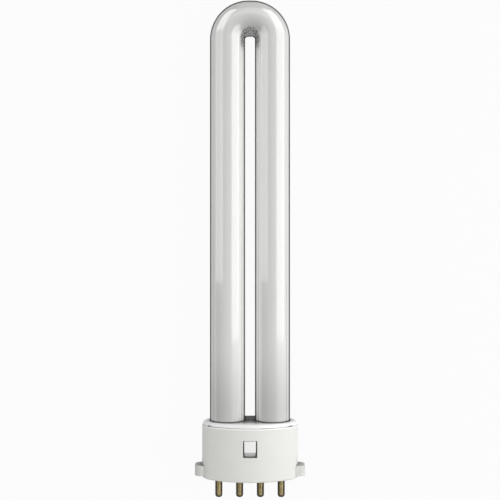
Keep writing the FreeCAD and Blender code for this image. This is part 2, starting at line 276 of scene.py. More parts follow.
class Oval:
    """The cap's outline as a function of the direction its outward normal points in.

    The outline is four tangent arcs, a small one round each narrow end and a large one across each
    wide face. A point is its arc's centre plus (arc's radius - inset) times the normal, so one
    direction gives matching points at every inset. The direction is 0 at the front, a quarter turn
    at the right end and half a turn at the back. The surfaces have their points at the stations."""

    def __init__(self, cap):
        self.end_radius = cap.end_radius
        self.end_centre = cap.half_width - cap.end_radius
        rise = cap.half_depth - cap.end_radius
        self.face_radius = (self.end_centre**2 + cap.half_depth**2 - cap.end_radius**2) / (2 * rise)
        self.face_centre = cap.half_depth - self.face_radius
        self.turn = math.atan2(self.end_centre, -self.face_centre)
        self.stations = None

    def divide(self, extra):
        """Sets the stations all the way round from the left end: even steps on each arc, and each
        extra front direction with its mirror image at the back."""
        face_points, end_points = 57, 29
        face = np.linspace(-self.turn, self.turn, face_points)
        end = np.linspace(self.turn, math.pi - self.turn, end_points)
        extra = np.asarray(extra, float)
        every = np.concatenate((face, face + math.pi, end, end + math.pi, extra, math.pi - extra))
        start = -math.pi / 2
        travel = np.round((every - start) % (2 * math.pi), 8)
        self.stations = np.unique(travel[travel < 2 * math.pi - 1e-6]) + start

    def at(self, inset):
        """x and z at the stations, moved in by one inset or by one for each station."""
        sine, cosine = np.sin(self.stations), np.cos(self.stations)
        face = np.abs(sine) <= math.sin(self.turn) + 1e-9
        radius = np.where(face, self.face_radius, self.end_radius) - inset
        x = np.where(face, 0.0, np.sign(sine) * self.end_centre) + radius * sine
        z = np.where(face, np.sign(cosine) * self.face_centre, 0.0) + radius * cosine
        return x, z

    def rings(self, insets, heights):
        """Closed rings of the outline, ring k moved in by insets[k] at heights[k]."""
        rings = []
        for inset, height in zip(insets, heights):
            x, z = self.at(inset)
            rings.append(join(x, height, z))
        return np.stack(rings)

    def front(self, x, inset):
        """z of the front face at x: the large arc's circle."""
        return self.face_centre + np.sqrt((self.face_radius - inset)**2 - x**2)

    def normal_at(self, x, inset):
        """The front direction at which the outline, moved in by inset, has that x."""
        face_x = (self.face_radius - inset) * math.sin(self.turn)
        if abs(x) <= face_x:
            return math.asin(x / (self.face_radius - inset))
        return math.copysign(math.asin((abs(x) - self.end_centre) / (self.end_radius - inset)), x)

    def plate(self, inset, height, centres, hole_rows):
        """A flat plate with a round hole at each centre, as one grid for each hole.

        The plate is split into cells half way between the centres. In a cell, each grid column
        runs along a ray from the hole's centre: down the hole's profile of (radius, height) rows,
        and then hole edge + share times (cell's boundary - hole edge)."""
        far, cut_points, rows = 1.0, 19, 4
        ring_x, ring_z = self.at(inset)
        splits = [-far, *halfway(centres), far]
        cells = []
        for centre, low, high in zip(centres, splits, splits[1:]):
            inside = (ring_x > low - 1e-8) & (ring_x < high + 1e-8)
            x, z = ring_x[inside], ring_z[inside]
            for split in (low, high):
                if abs(split) < far:
                    top = self.front(split, inset)
                    line = np.linspace(-top, top, cut_points)[1:-1]
                    x, z = np.append(x, np.full_like(line, split)), np.append(z, line)
            angle = np.arctan2(x - centre, z)
            order = np.argsort(angle)
            hole = turned(hole_rows, centre, angle[order])
            boundary = join(x, height, z)[order]
            share = np.linspace(0, 1, rows + 1)[1:, None, None]
            cells.append(np.concatenate((hole, hole[-1] + share * (boundary - hole[-1]))))
        return cells


def halfway(centres):
    """The points half way between neighbouring centres."""
    return [(a + b) / 2 for a, b in zip(centres, centres[1:])]


def opening(grid, rows, columns):
    """The closed loop of a grid's points round a rectangular opening."""
    (low, high), (left, right) = rows, columns
    return np.concatenate((grid[low, left:right], grid[low:high, right],
                           grid[high, right:left:-1], grid[high:low:-1, left]))


class Skin:
    """Grids of points joined into one closed mesh."""

    def __init__(self):
        self.points = []
        self.quads = []
        self.count = 0

    def grid(self, points, keep=None):
        """Rows of points joined into quads, each row closed on itself. keep marks the quads that
        are made, one for each step between rows and each column."""
        rows, columns = points.shape[:2]
        index = self.count + np.arange(rows * columns).reshape(rows, columns)
        index = np.concatenate((index, index[:, :1]), 1)
        quads = quads_of(index)
        self.quads.append(quads[keep] if keep is not None else quads.reshape(-1, 4))
        self.points.append(points.reshape(-1, 3))
        self.count += rows * columns

    def closed_grid(self, points):
        """A grid whose first and last rows are each closed to a pole at their middle."""
        first, last = (np.broadcast_to(row.mean(0), row.shape)[None] for row in (points[0], points[-1]))
        self.grid(np.concatenate((first, points, last)))

    def piece(self, name, sharp_angle=38.0):
        """The mesh object, laid in place, with doubles merged, faces outward and sharp edges set."""
        mesh = bpy.data.meshes.new(name)
        mesh.from_pydata(laid(np.concatenate(self.points)), [], np.concatenate(self.quads).tolist())
        work = bmesh.new()
        work.from_mesh(mesh)
        bmesh.ops.remove_doubles(work, verts=work.verts, dist=1e-7)
        bmesh.ops.dissolve_degenerate(work, edges=work.edges, dist=1e-8)
        bmesh.ops.recalc_face_normals(work, faces=work.faces)
        work.to_mesh(mesh)
        work.free()
        mesh.shade_smooth()
        mesh.set_sharp_from_angle(angle=math.radians(sharp_angle))
        return linked(name, mesh)


def quads_of(index):
    """The four corners of each cell in a grid of point numbers."""
    return join(index[:-1, :-1], index[:-1, 1:], index[1:, 1:], index[1:, :-1])


def linked(name, data):
    """A new object with that data, linked to the scene."""
    made = bpy.data.objects.new(name, data)
    bpy.context.scene.collection.objects.link(made)
    return made


# Shader kit

class Wire:
    """A node's output with Python's operators, so that maths on values reads as an expression."""

    def __init__(self, nodes, socket):
        self.nodes = nodes
        self.socket = socket

    def __add__(self, other):
        return self.nodes.maths("ADD", self, other)

    def __radd__(self, other):
        return self.nodes.maths("ADD", other, self)

    def __sub__(self, other):
        return self.nodes.maths("SUBTRACT", self, other)

    def __rsub__(self, other):
        return self.nodes.maths("SUBTRACT", other, self)

    def __mul__(self, other):
        return self.nodes.maths("MULTIPLY", self, other)

    def __rmul__(self, other):
        return self.nodes.maths("MULTIPLY", other, self)

    def __pow__(self, other):
        return self.nodes.maths("POWER", self, other)

    def __abs__(self):
        return self.nodes.maths("ABSOLUTE", self)


class Nodes:
    """One node tree, built by add() and by the short names for what is used often."""

    def __init__(self, tree):
        self.tree = tree
        tree.nodes.clear()

    def add(self, kind, settings=None, values=None, output=0):
        """A node of that kind. Its settings come first, then each socket's value or link."""
        node = self.tree.nodes.new(kind)
        for key, value in (settings or {}).items():
            setattr(node, key, value)
        for key, value in (values or {}).items():
            if isinstance(value, Wire):
                self.tree.links.new(value.socket, node.inputs[key])
            else:
                node.inputs[key].default_value = value
        return Wire(self, node.outputs[output] if len(node.outputs) else None)

    def maths(self, operation, *values):
        """A Math node on values and links."""
        return self.add("ShaderNodeMath", {"operation": operation}, dict(enumerate(values)))

    def vectors(self, operation, values):
        """A Vector Math node on the values and links of its sockets."""
        return self.add("ShaderNodeVectorMath", {"operation": operation}, values)

    def above_zero(self, value):
        """The value, or 0 where it is negative."""
        return self.maths("MAXIMUM", value, 0.0)

    def step(self, value, low, high):
        """0 below low, 1 above high and a smooth rise between them."""
        return self.add("ShaderNodeMapRange", {"interpolation_type": "SMOOTHSTEP"},
                        {"Value": value, "From Min": low, "From Max": high})

    def ramp(self, value, stops):
        """A grey value that runs through (place, grey value) pairs."""
        wire = self.add("ShaderNodeValToRGB", None, {"Fac": value})
        elements = wire.socket.node.color_ramp.elements
        while len(elements) < len(stops):
            elements.new(1.0)
        for element, (place, grey) in zip(elements, stops):
            element.position = place
            element.color = (grey, grey, grey, 1.0)
        return wire

    def lamp_place(self):
        """Object coordinates as millimetres in the lamp's own axes: the vector, x and y."""
        shift = -np.stack((ACROSS, ALONG, OUT)) @ SEAT_POINT / MM
        place = self.add("ShaderNodeTexCoord", output="Object")
        vector = self.add("ShaderNodeMapping", {"vector_type": "POINT"},
                          {"Vector": place, "Location": shift, "Rotation": (TILT, 0, 0),
                           "Scale": (1 / MM,) * 3})
        axes = self.add("ShaderNodeSeparateXYZ", None, {"Vector": vector}).socket.node.outputs
        return vector, Wire(self, axes["X"]), Wire(self, axes["Y"])

    def noise(self, vector, scale, detail=3.0, stretch=None):
        """Noise from 0 to 1. stretch scales the axes first."""
        if stretch:
            vector = self.vectors("MULTIPLY", {0: vector, 1: stretch})
        return self.add("ShaderNodeTexNoise", None, {"Vector": vector, "Scale": scale, "Detail": detail})

    def mix(self, factor, first, second):
        """A colour between two colours."""
        first, second = (c if isinstance(c, Wire) else rgba(c) for c in (first, second))
        values = {0: factor, 6: first, 7: second}
        return self.add("ShaderNodeMix", {"data_type": "RGBA"}, values, output=2)

    def tint(self, base, factor):
        """A colour made lighter or darker by a value: colour times value on each channel."""
        base = base if isinstance(base, Wire) else tuple(base[:3])
        return self.vectors("SCALE", {0: base, "Scale": factor})

    def bump(self, height, distance, strength):
        """A normal from a height, with the distance in metres."""
        return self.add("ShaderNodeBump", None,
                        {"Height": height, "Distance": distance, "Strength": strength})

    def surface(self, **values):
        """A Principled shader. Underscores in the names stand for spaces."""
        values = {key.replace("_", " "): value for key, value in values.items()}
        return self.add("ShaderNodeBsdfPrincipled", None, values)

    def either(self, factor, first, second):
        """A shader between two shaders."""
        return self.add("ShaderNodeMixShader", None, {0: factor, 1: first, 2: second})

    def finish(self, shader, kind="ShaderNodeOutputMaterial"):
        """Ends the tree with its output."""
        self.add(kind, None, {"Surface": shader})


def material(name):
    """A new material and its empty node tree."""
    made = bpy.data.materials.new(name)
    made.use_nodes = True
    return made, Nodes(made.node_tree)


def rgba(value):
    """A colour with full alpha."""
    return (*value[:3], 1.0)


# Materials, with places on the lamp in millimetres

def turned_away(n, run):
    """How far a round bar's surface has turned away from the viewer, from 0 where it faces the
    viewer to 1 at the bar's outline: 1 - |N.V| / sqrt(1 - (T.V)^2), where T is the unit vector
    along run, the bar's direction. Without the root, a bar seen nearly end on would be all
    outline."""
    def towards_viewer(values):
        return 1.0 - n.add("ShaderNodeLayerWeight", None, {"Blend": 0.5, **values}, output="Facing")

    end_on = towards_viewer({"Normal": n.vectors("NORMALIZE", {0: run})})
    across = n.maths("MAXIMUM", 1.0 - end_on * end_on, 0.01)**0.5
    return n.above_zero(1.0 - n.maths("DIVIDE", towards_viewer({}), across))


def along_bend(n, x, y, centre_x, centre_y):
    """The tube's direction: along the lamp in the legs, and round the bend's centres at
    (-+centre_x, centre_y) beyond them."""
    beside = n.above_zero(abs(x) - centre_x) * n.maths("SIGN", x)
    above = n.above_zero(y - centre_y)
    across = n.vectors("SCALE", {0: tuple(ACROSS), "Scale": above})
    along = n.vectors("SCALE", {0: tuple(-ALONG), "Scale": beside})
    return n.vectors("ADD", {0: across, 1: along})


def coated_glass(colours, tube):
    """Clear gloss glass over a white powder coating. The coating is cloudy, greyer at the feet and
    painted lighter where the legs face each other, as painted light. Inside the bend the glass is
    wrinkled and painted dark in patches, as painted shade. A dark shader mixed in by viewing angle
    paints fine dark lines along the outline and a dark ring at the feet, as painted shade."""
    made, n = material("coated_glass_white")
    vector, x, y = n.lamp_place()
    centre_y = (tube.reach - tube.radius - tube.bend_radius) / MM
    inner_y = (tube.bend_radius - tube.radius) / MM
    inner_x = (tube.leg_x - tube.radius) / MM
    clouds = n.noise(vector, 0.16, 4.0, stretch=(1.0, 0.25, 1.0))
    grain = n.noise(vector, 2.2, 3.0)
    foot_low, foot_high = 22.0, 46.0
    foot = 1 - n.step(y, foot_low, foot_high)
    base = n.mix(foot, colours.coating, colours.coating_foot)
    base = n.tint(base, 0.965 + 0.05 * clouds + 0.02 * grain)
    # Painted light: the coating is painted lighter on the legs' inner sides, where they face each other
    painted_light_inward = 1 - n.step(abs(x), inner_x + 0.8, inner_x + 2.8)
    on_leg = 1 - n.step(y, centre_y - 5.0, centre_y - 1.0)
    base = n.tint(base, 1.0 + (0.27 + 0.15 * foot) * (painted_light_inward * on_leg))

    # Painted shade: the inside of the bend is painted dark in mottled patches; the fold mask also carries
    # the wrinkles' bump
    above = n.above_zero(y - centre_y)
    wrinkle = n.noise(vector, 1.5, 2.0)
    away = ((x * (1 / (inner_x + 1.5)))**2.0 + (above * (1 / (inner_y + 2.3)))**2.0)**0.5
    down = n.step(y + 3.0 * (wrinkle - 0.5), centre_y - 5.0, centre_y - 1.2)
    fold = (1 - n.step(away + 0.22 * (wrinkle - 0.5), 0.88, 1.06)) * down
    patch = n.ramp(n.noise(vector, 2.6, 1.5), [(0.40, 0.10), (0.50, 0.75), (0.60, 1.0)])
    bend_shade = (1 - n.step(away, 1.1, 2.4)) * n.step(y, centre_y, centre_y + 2.5)
    base = n.mix(bend_shade * 0.36, base, colours.bend_shade_colour)
    base = n.mix(fold * patch * 0.95, base, colours.bend_shade_colour)

    waves = n.noise(vector, 0.35, 2.0, stretch=(1.0, 0.35, 1.0))
    normal = n.bump(waves + fold * wrinkle * 1.5, 0.05 * MM, 0.35)
    body = n.surface(Base_Color=base, Roughness=0.10 + 0.05 * clouds, Normal=normal, IOR=1.52,
                     Coat_Weight=1.0, Coat_IOR=1.6, Coat_Roughness=0.03)

    # Painted shade: a dark shader mixed in by viewing angle paints fine lines along the outline, a second
    # line stronger lower down, and a dark ring where the glass meets the collar
    away_by = turned_away(n, along_bend(n, x, y, (tube.leg_x - tube.bend_radius) / MM, centre_y))
    outline = n.ramp(away_by, [(0.42, 0.0), (0.54, 0.07), (0.62, 0.28), (0.70, 0.92), (1.0, 0.99)])
    low_down = 1 - n.step(y, 60.0, 100.0)
    wall = n.ramp(away_by, [(0.365, 0.0), (0.40, 1.0), (0.435, 0.0)]) * (0.12 + 0.30 * low_down)
    shadow_ring_top = 19.6
    foot_shadow_ring = 1 - n.step(y, shadow_ring_top - 0.25, shadow_ring_top)
    rim = n.maths("MAXIMUM", outline, wall + foot_shadow_ring * 0.8)
    edge = n.surface(Base_Color=rgba(colours.outline_shade), Roughness=0.25, Specular_IOR_Level=0.0)
    n.finish(n.either(rim, body, edge))
    return made


# A height, in millimetres, that no moulding reaches
NOWHERE = -10.0


def moulding(name, base_colour, colours, roughness, gloss, grain_scale, reach, unshaded_share, highlight_from,
             painted_grey_below=NOWHERE, shade_free_ledge=NOWHERE):
    """Moulded plastic: faint cloudy colour, spark-eroded grain and slight flow marks. A painted
    highlight makes the plastic paler along the rim above one height, where it is also smoother.
    Painted shade makes it grey below another height and on the lugs, and mottled dark where other
    surfaces stand closer than reach, up to the given open share, and on the top plate between the
    legs, but not on the ledge at the given height."""
    made, n = material(name)
    vector, x, y = n.lamp_place()
    clouds = n.noise(vector, 0.22, 4.0)
    specks = n.ramp(n.noise(vector, 3.0, 2.0), [(0.27, 0.0), (0.33, 1.0)])
    shade = 0.95 + 0.05 * clouds + 0.03 * n.noise(vector, 1.3, 3.0)
    base = n.tint(base_colour, shade * (0.97 + 0.03 * specks))
    # Painted highlight: paler colour painted along the rim above the given height
    rim = n.step(y, highlight_from, highlight_from + 0.25)
    base = n.mix(rim * 0.9, base, colours.rim_highlight)

    # Painted shade: ambient occlusion mixes in the dark shader in corners and on the top plate between the
    # legs
    open_share = n.add("ShaderNodeAmbientOcclusion", {"samples": 8}, {"Distance": reach}, output="AO")
    mottle = n.ramp(n.noise(vector, 1.8, 3.0), [(0.36, 0.6), (0.58, 1.0)])
    corner_shade = (1 - n.step(open_share, unshaded_share - 0.6, unshaded_share)) * mottle * n.step(abs(y - shade_free_ledge), 0.1, 0.4)
    gap_half, top_from = 1.6, 18.7
    in_gap = 1 - n.step(abs(x), gap_half, gap_half + 1.8)
    on_top = n.step(y, top_from, top_from + 0.25)
    shade_between_legs = (1 - n.step(open_share, 0.6, 1.0)) * in_gap * on_top
    painted_shade = n.maths("MAXIMUM", corner_shade * 0.85, shade_between_legs * (0.4 + 0.6 * mottle))

    # Painted shade: grey painted below the given height and on the lugs
    painted_grey = 1 - n.step(y, painted_grey_below - 0.25, painted_grey_below)
    base = n.mix(painted_grey * (0.35 + 0.4 * mottle), base, colours.painted_grey)
    lug_from = 16.2
    lug_shade = n.step(abs(x), lug_from, lug_from + 0.4)
    base = n.mix(lug_shade * (0.1 + 0.25 * mottle), base, colours.painted_grey)

    grain = n.noise(vector, grain_scale, 3.0)
    flow = n.noise(vector, 0.5, 2.0, stretch=(0.4, 1.6, 0.4))
    normal = n.bump(grain * 0.5 + flow, 0.02 * MM, 0.5)
    rough = roughness + 0.12 * (clouds - 0.5) + 0.06 * (grain - 0.5) - 0.10 * rim
    plastic = n.surface(Base_Color=base, Roughness=rough, Normal=normal, IOR=1.5,
                        Specular_IOR_Level=gloss)
    # The dark, matt shader of the painted shade
    shade_layer = n.surface(Base_Color=rgba(colours.shade_colour), Roughness=1.0, Specular_IOR_Level=0.0)
    n.finish(n.either(painted_shade, plastic, shade_layer))
    return made


def pin_brass(colours):
    """Turned brass: fine rings round the pin, tarnish in soft patches and grey metal at the tip.
    Painted shade: a dark colour at the root, where the pin meets the cap, and, mixed in by viewing
    angle, where the surface turns away."""
    made, n = material("pin_brass_turned")
    vector, _, y = n.lamp_place()
    patches = n.ramp(n.noise(vector, 1.3, 4.0), [(0.38, 0.0), (0.60, 1.0)])
    worn = patches * 0.7
    base = n.mix(worn, colours.brass, colours.tarnish)
    tip_from = -5.3
    tip = 1 - n.step(y + 0.6 * patches, tip_from - 1.0, tip_from)
    base = n.mix(tip * 0.9, base, colours.pin_tip)
    # Painted shade: dark at the root, where the pin meets the cap, and along the outline by viewing angle
    root = n.step(y, -0.7, -0.15) * 0.7
    painted_edge_dark = n.step(turned_away(n, tuple(ALONG)), 0.035, 0.18) * 0.95
    base = n.mix(n.maths("MAXIMUM", painted_edge_dark, root), base, colours.pin_outline_shade)
    rings = n.add("ShaderNodeTexWave",
                  {"wave_type": "BANDS", "bands_direction": "Y", "wave_profile": "SIN"},
                  {"Vector": vector, "Scale": 1.6, "Distortion": 1.2, "Detail": 2.0,
                   "Detail Scale": 1.5}, output="Fac")
    scratches = n.noise(vector, 5.0, 2.0, stretch=(1.0, 0.2, 1.0))
    normal = n.bump(rings + scratches * 0.7, 0.02 * MM, 0.5)
    rough = 0.40 + 0.15 * worn + 0.06 * scratches
    n.finish(n.surface(Base_Color=base, Metallic=1.0, Roughness=rough, Normal=normal,
                       Specular_Tint=(0.05, 0.05, 0.05, 1.0)))
    return made


def basing_cement(colours):
    """Matt baked cement with coarse grit."""
    made, n = material("basing_cement_grit")
    vector = n.lamp_place()[0]
    grit = n.noise(vector, 2.5, 5.0)
    pits = n.ramp(n.noise(vector, 5.0, 2.0), [(0.3, 0.0), (0.42, 1.0)])
    base = n.tint(colours.cement, (0.78 + 0.4 * grit) * (0.8 + 0.2 * pits))
    n.finish(n.surface(Base_Color=base, Roughness=0.9 + 0.1 * grit,
                       Normal=n.bump(grit + pits, 0.08 * MM, 0.8)))
    return made


def lead_metal(colours):
    """Drawn wire with fine marks along it and a dull oxide."""
    made, n = material("lead_wire_drawn")
    vector = n.lamp_place()[0]
    marks = n.noise(vector, 6.0, 3.0, stretch=(1.0, 0.15, 1.0))
    n.finish(n.surface(Base_Color=n.tint(colours.lead, 0.8 + 0.3 * marks), Metallic=1.0,
                       Roughness=0.28 + 0.2 * marks, Normal=n.bump(marks, 0.01 * MM, 0.4)))
    return made


def dress(piece, finish):
    """Gives a new piece its material and its slot, and lets it move with the lamp's one body."""
    piece.data.materials.clear()
    piece.data.materials.append(finish)
    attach(piece, "root")


def dress_node(name, finish):
    """Gives a CAD node that is kept its procedural material."""
    node = frame["nodes"][name]
    if not node.material_slots:
        raise RuntimeError(f"{name} has no material slot")
    for slot in node.material_slots:
        slot.material = finish


# Pieces

class LAMP_OT_glass_tube(bpy.types.Operator):
    """Builds the coated glass tube: two legs, the bend, the pressed ends and the exhaust tip"""
    bl_idname = "lamp.glass_tube"
    bl_label = "Glass Tube"

    def execute(self, context):
        tube = context.scene.lamp_tube
        skin = Skin()
        skin.closed_grid(self.swept(tube))
        skin.closed_grid(self.exhaust(tube))
        piece = skin.piece("glass_tube", 60.0)
        dress(piece, coated_glass(context.scene.lamp_colours, tube))
        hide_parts("discharge_tube")
        return {"FINISHED"}

    @staticmethod
    def path(tube):
        """The centre line from the left press over the bend to the right press, as points and the
        direction towards the outside of the U at each: straight legs, two quarter circles about
        (-+centre_x, centre_y) and the short crossing between them."""
        centre_y = tube.reach - tube.radius - tube.bend_radius
        centre_x = tube.leg_x - tube.bend_radius
        legs = np.concatenate((spread(tube.press_bottom, tube.press_top, 0.6 * MM),
                               spread(tube.press_top, tube.round_end, 0.25 * MM)[1:],
                               spread(tube.round_end, centre_y, 3.0 * MM)[1:]))
        turn = np.linspace(0, math.pi / 2, 31)[1:]
        cross = np.linspace(-centre_x, 0, 3)[1:]
        leg = join(-tube.leg_x, legs, 0.0)
        bend = join(-centre_x - tube.bend_radius * np.cos(turn),
                    centre_y + tube.bend_radius * np.sin(turn), 0.0)
        crossing = join(cross, centre_y + tube.bend_radius, 0.0)
        centre = np.concatenate((leg, bend, crossing))
        out = np.concatenate((join(-np.ones_like(legs), 0.0, 0.0), join(-np.cos(turn), np.sin(turn), 0.0),
                              join(np.zeros_like(cross), 1.0, 0.0)))
        mirror = np.array((-1.0, 1.0, 1.0))
        return [np.concatenate((half, (half * mirror)[-2::-1])) for half in (centre, out)]

    def swept(self, tube):
        """The tube's skin: centre(s) + radius cos(a) outward(s) + flattened radius sin(a) front.

        The flattening is a smooth minimum of the round section's depth and the half thickness of
        the pressed end: depth / (1 + (depth / half)^8)^(1/8). Inside the bend the radius loses a
        small ripple along the path, for the wrinkles of the folded glass."""
        centre, out = self.path(tube)
        along = centre[:, 1]
        angle = full_turn(96)
        cosine, sine = np.cos(angle), np.sin(angle)
        flat = tube.press_thickness / 2
        never_flat = 1.0
        rise = np.interp(along, (tube.press_top, tube.round_end), (0.0, 1.0))
        past_round = 1.25
        half = np.where(rise < 1.0, flat + rise * (tube.radius - flat) * past_round, never_flat)
        bent = np.clip((along - (tube.reach - tube.radius - tube.bend_radius)) / tube.bend_radius, 0, 1)
        travel = np.arctan2(centre[:, 0], along - along.max() + tube.bend_radius)
        wrinkles, swells = 13, 5
        ripple = tube.fold_ripple * np.sin(travel * wrinkles) * (0.5 + 0.5 * np.sin(travel * swells + 1))
        fold = (ripple * np.sqrt(bent))[:, None] * np.clip(-cosine, 0, 1)**3
        radius = tube.radius - np.abs(fold)
        depth = radius * sine
        depth = depth / (1 + np.abs(depth / half[:, None])**8)**0.125
        front = np.array((0.0, 0.0, 1.0))
        return centre[:, None] + (radius * cosine)[..., None] * out[:, None] + depth[..., None] * front

    @staticmethod
    def exhaust(tube):
        """The sealed exhaust tip under the left leg: a short tube drawn out to a blunt drop."""
        low = tube.press_bottom - tube.exhaust_length
        radius = tube.exhaust_radius
        sunk_in, blunt = 0.6 * MM, 0.02 * MM
        drop = quarter((radius, low + radius), (blunt, low), 10)
        profile = np.concatenate(([(radius, tube.press_bottom + sunk_in)], drop))
        return turned(profile, -tube.leg_x, full_turn(40))


class LAMP_OT_cap_shell(bpy.types.Operator):
    """Builds the outer moulding with its windows, lugs, pin holes and bosses"""
    bl_idname = "lamp.cap_shell"
    bl_label = "Cap Shell"

    edge_steps = np.array((0.0, 0.04, 0.1, 0.16, 0.32)) * MM

    def execute(self, context):
        cap, pin = context.scene.lamp_cap, context.scene.lamp_pin
        colours = context.scene.lamp_colours
        skin = Skin()
        self.walls(skin, Oval(cap), cap, pin)
        for side in (-1, 1):
            skin.closed_grid(self.lug(cap, side))
        piece = skin.piece("cap_shell_moulding")
        finish = moulding("cap_moulding_offwhite", colours.cap, colours, roughness=0.46, gloss=0.3,
                          grain_scale=4.0, reach=4.0 * MM, unshaded_share=1.0, highlight_from=17.1,
                          shade_free_ledge=cap.window_low / MM)
        dress(piece, finish)
        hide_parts("cap_shell")
        return {"FINISHED"}

    def wall_heights(self, cap):
        """Heights of the wall's rings, close together at the window's edges."""
        low = cap.window_low - self.edge_steps[::-1]
        high = cap.window_high + self.edge_steps
        margin = 0.15 * MM
        return np.concatenate((spread(cap.foot_round + margin, low[0], 0.8 * MM)[:-1], low,
                               spread(cap.window_low, cap.window_high, 0.7 * MM)[1:-1], high,
                               spread(high[-1], cap.height - cap.rim_round - margin, 0.8 * MM)[1:]))

    @staticmethod
    def sunk(cap, x, height):
        """How far the wall falls away at a window's edge: a quarter circle of the window's rounding,
        r - sqrt(r^2 - (r - d)^2) at a distance d outside the opening."""
        d_x = np.maximum(np.abs(x) - cap.window_half, 0)
        d_y = max(cap.window_low - height, height - cap.window_high, 0)
        near_edge = np.clip(cap.window_round - np.hypot(d_x, d_y), 0, cap.window_round)
        return cap.window_round - np.sqrt(cap.window_round**2 - near_edge**2)

    def walls(self, skin, oval, cap, pin):
        """The shell's skin from the pin face up the outside, over the rim and down the inside."""
        centres = [x for name, x in PIN_PLACES]
        extra = [oval.normal_at(side * (cap.window_half + d), 0.0)
                 for d in self.edge_steps for side in (-1, 1)]
        for inset in (cap.foot_round, cap.wall):
            extra += [oval.normal_at(x, inset) for x in halfway(centres)]
        oval.divide(extra)
        heights = self.wall_heights(cap)
        x_out = oval.at(0.0)[0]
        outer = oval.rings([self.sunk(cap, x_out, h) for h in heights], heights)
        inner = oval.rings([cap.wall] * len(heights), heights)

        rows = [near(heights, h) for h in (cap.window_low, cap.window_high)]
        left, right = extra[:2]
        keep = np.ones((len(heights) - 1, len(oval.stations)), bool)
        for directions in ((left, right), (math.pi - right, math.pi - left)):
            columns = [near(oval.stations, direction) for direction in directions]
            keep[slice(*rows), slice(*columns)] = False
            skin.grid(np.stack([opening(grid, rows, columns) for grid in (outer, inner)]))
        skin.grid(outer, keep)
        skin.grid(inner, keep)

        edge = 0.12 * MM
        foot = quarter((0.0, cap.foot_round), (cap.foot_round, 0.0), 6)[::-1]
        skin.grid(np.concatenate((oval.rings(*foot.T), outer[:1])))
        rim = quarter((0.0, cap.height - cap.rim_round), (cap.rim_round, cap.height), 5)
        lip = oval.rings([cap.wall - edge, cap.wall], [cap.height, cap.height - edge])
        skin.grid(np.concatenate((outer[-1:], oval.rings(*rim.T), lip, inner[-1:])))
        skin.grid(np.concatenate((oval.rings([cap.wall], [cap.floor]), inner[:1])))
        hole = [(pin.seat_radius, cap.boss_top), (pin.seat_radius, edge), (pin.seat_radius + edge, 0.0)]
        boss = [(pin.seat_radius, cap.boss_top), (cap.boss_radius, cap.boss_top),
                (cap.boss_radius, cap.floor)]
        for cell in (oval.plate(cap.foot_round, 0.0, centres, hole)
                     + oval.plate(cap.wall, cap.floor, centres, boss)):
            skin.grid(cell)

    @staticmethod
    def lug(cap, side):
        """A tab with corners rounded in plan and rounded edges: rounded rectangles stacked up."""
        inner = cap.half_width - cap.end_radius
        outer = cap.half_width + cap.lug_reach
        middle, half = (inner + outer) / 2, (outer - inner) / 2
        edge, border, inside = cap.lug_edge, 0.2 * MM, 1.6 * MM
        low = quarter((0.0, cap.lug_low + edge), (edge, cap.lug_low), 4)[::-1]
        high = quarter((0.0, cap.lug_high - edge), (edge, cap.lug_high), 4)
        flat_low = [(edge + d, cap.lug_low) for d in (inside, border)]
        flat_high = [(edge + d, cap.lug_high) for d in (border, inside)]
        margin = edge + border
        sides = [(0.0, h) for h in spread(cap.lug_low + margin, cap.lug_high - margin, 0.8 * MM)]
        rings = []
        for inset, height in np.concatenate((flat_low, low, sides, high, flat_high)):
            corner = max(cap.lug_corner - inset, 0.05 * MM)
            loop = rounded_rectangle(half - inset, cap.lug_half_depth - inset, corner)
            rings.append(join(side * middle + loop[:, 0], height, loop[:, 1]))
        return np.stack(rings)


